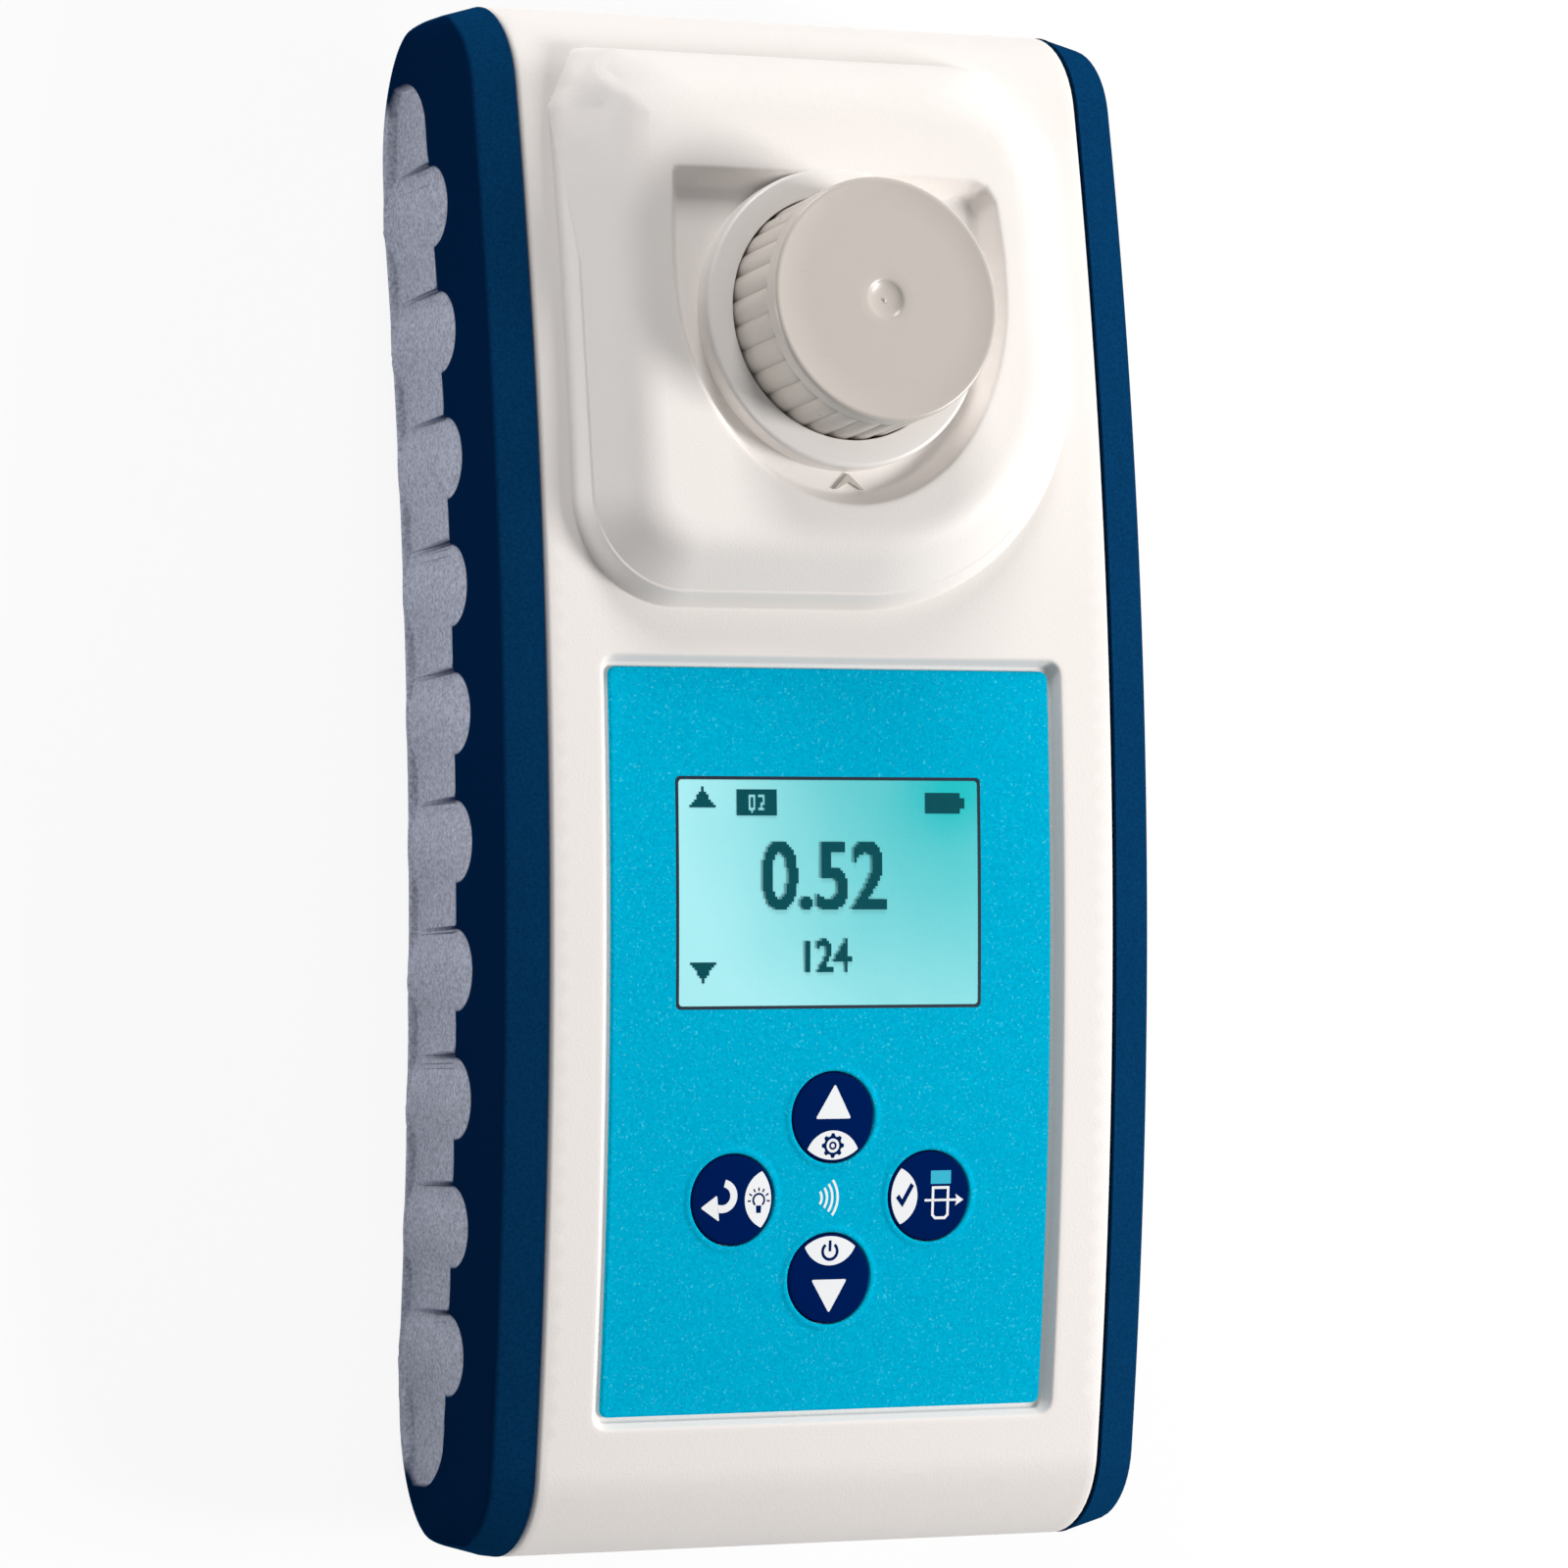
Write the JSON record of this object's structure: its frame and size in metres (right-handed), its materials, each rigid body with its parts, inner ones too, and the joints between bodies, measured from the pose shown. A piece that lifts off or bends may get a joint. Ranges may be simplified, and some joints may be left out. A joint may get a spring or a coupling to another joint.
{
  "type": "handheld photometer",
  "caption": "Handheld photometer with an arched housing, grip panels, a membrane label with display and keys, and a capped vial in a raised chamber.",
  "frame": {"origin": "middle of the outline on the surface that the instrument lies on", "axes": "+X across the width, +Y along the length towards the chamber end, +Z out of the front face"},
  "size_m": [0.0726, 0.1554, 0.0475],
  "materials": {
    "shell_white": "fine moulded grain",
    "ring_white": "smooth satin",
    "cap_white": "smooth satin",
    "panel_navy": "soft touch, fine grain",
    "label_turquoise": "fine grained film",
    "key_navy": "printed film, satin",
    "display_window": "clear window over a pale aqua display",
    "display_glass": "liquid crystal glass",
    "moulded_natural": "moulded",
    "moulded_black": "moulded",
    "board_green": "solder mask",
    "screw_steel": "plated",
    "contact_metal": "nickel plated",
    "cell_wrap": "plain printed wrap",
    "seal_rubber": "elastic",
    "lamp_lens": "clear epoxy lens",
    "filter_glass": "coated",
    "vial_glass": "polished"
  },
  "bodies": {
    "housing": {"front_shell": "shell_white", "back_shell": "shell_white", "left_grip": "panel_navy", "right_grip": "panel_navy", "shell_seal": "seal_rubber", "housing_screws": "screw_steel", "keypad_label": "label_turquoise", "display_window": "display_window", "key_switches": "moulded_black", "main_board": "board_green", "board_screws": "screw_steel", "display_glass": "display_glass", "display_backlight": "moulded_natural", "wireless_module": "screw_steel", "processor": "moulded_black", "buzzer": "moulded_black", "chamber_body": "moulded_black", "lamp": "lamp_lens", "lamp_board": "board_green", "colour_filter": "filter_glass", "light_detector": "moulded_black", "detector_board": "board_green", "chamber_ring": "ring_white", "battery_holder": "moulded_black", "batteries": "cell_wrap", "battery_contacts": "contact_metal", "battery_springs": "contact_metal"},
    "key_up": {"key_up": "key_navy"},
    "key_left": {"key_left": "key_navy"},
    "key_right": {"key_right": "key_navy"},
    "key_down": {"key_down": "key_navy"},
    "vial": {"vial": "vial_glass"},
    "cap_liner": {"cap_liner": "seal_rubber"},
    "vial_cap": {"vial_cap": "cap_white"},
    "battery_cover": {"battery_cover": "shell_white", "cover_seal": "seal_rubber"},
    "cover_screw": {"cover_screw": "screw_steel"}
  },
  "joints": [
    {"name": "key_up_press", "type": "slide", "parent": "housing", "child": "key_up", "axis": [0, 0, -1], "range_m": [0, 0.0004], "stiffness_N_per_m": 800, "springref_m": -0.0005},
    {"name": "key_left_press", "type": "slide", "parent": "housing", "child": "key_left", "axis": [0, 0, -1], "range_m": [0, 0.0004], "stiffness_N_per_m": 800, "springref_m": -0.0005},
    {"name": "key_right_press", "type": "slide", "parent": "housing", "child": "key_right", "axis": [0, 0, -1], "range_m": [0, 0.0004], "stiffness_N_per_m": 800, "springref_m": -0.0005},
    {"name": "key_down_press", "type": "slide", "parent": "housing", "child": "key_down", "axis": [0, 0, -1], "range_m": [0, 0.0004], "stiffness_N_per_m": 800, "springref_m": -0.0005},
    {"name": "vial_lift", "type": "slide", "parent": "housing", "child": "vial", "axis": [0, 0.1023, 0.9948], "range_m": [0, 0.03]},
    {"name": "cap_rise", "type": "slide", "parent": "vial", "child": "cap_liner", "axis": [0, 0.1023, 0.9948], "range_m": [0, 0.0032]},
    {"name": "cap_turn", "type": "hinge", "parent": "cap_liner", "child": "vial_cap", "pos_m": [0, 0.04535, 0.03478], "axis": [0, 0.1023, 0.9948], "range_deg": [0, 450]},
    {"name": "battery_cover_slide", "type": "slide", "parent": "housing", "child": "battery_cover", "axis": [0, 0, -1], "range_m": [0, 0.02]},
    {"name": "cover_screw_turn", "type": "hinge", "parent": "battery_cover", "child": "cover_screw", "pos_m": [0, -0.002, 0.004], "axis": [0, 0, -1], "continuous": true}
  ],
  "couplings": [
    {"joint": "cap_rise", "follows": "cap_turn", "m_per_rad": 0.00039789}
  ]
}
